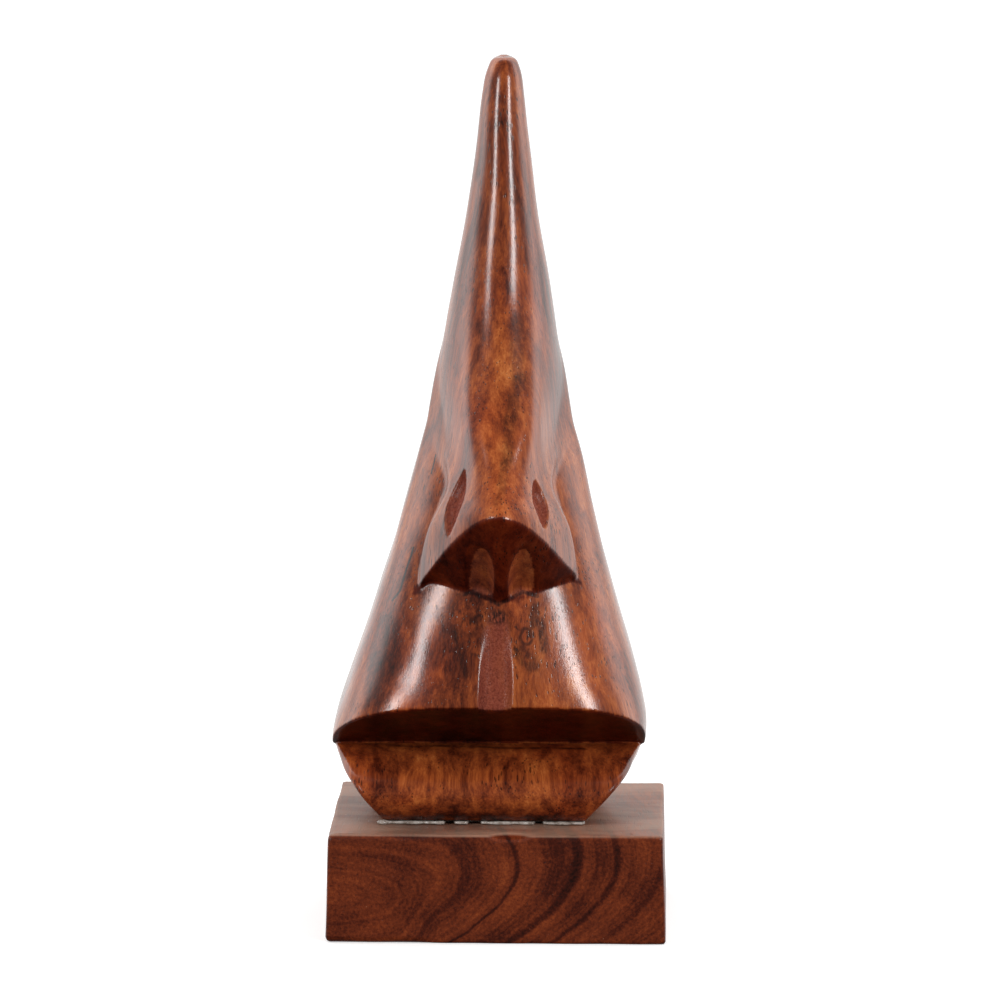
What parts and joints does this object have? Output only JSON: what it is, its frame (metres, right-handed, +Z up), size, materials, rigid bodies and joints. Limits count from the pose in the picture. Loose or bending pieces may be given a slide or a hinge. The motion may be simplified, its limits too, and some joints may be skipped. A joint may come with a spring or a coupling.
{
  "type": "eyeglasses stand",
  "caption": "Carved wooden nose and mouth on a rectangular wooden block; spectacles rest across the ridge of the nose.",
  "frame": {"origin": "centre of the block's underside, on the surface the stand rests on", "axes": "+Z up through the tip of the nose, +X to the right of someone looking at the face, and the face looks along -Y"},
  "size_m": [0.0644, 0.0508, 0.165],
  "materials": {
    "base_wood": "dark red-brown rosewood under a thin satin lacquer, open pores, edges worn soft",
    "carving_wood": "orange-brown rosewood with dark streaks and two knots, polished and lacquered",
    "glue": "dried whitish wood glue, glossy at the squeezed-out front edge",
    "screw_metal": "plain yellow-passivated wood screw, slightly dull"
  },
  "bodies": {
    "root": {"base_block": "base_wood", "nose_carving": "carving_wood", "glue_film": "glue", "screw_left": "screw_metal", "screw_right": "screw_metal"}
  },
  "joints": []
}
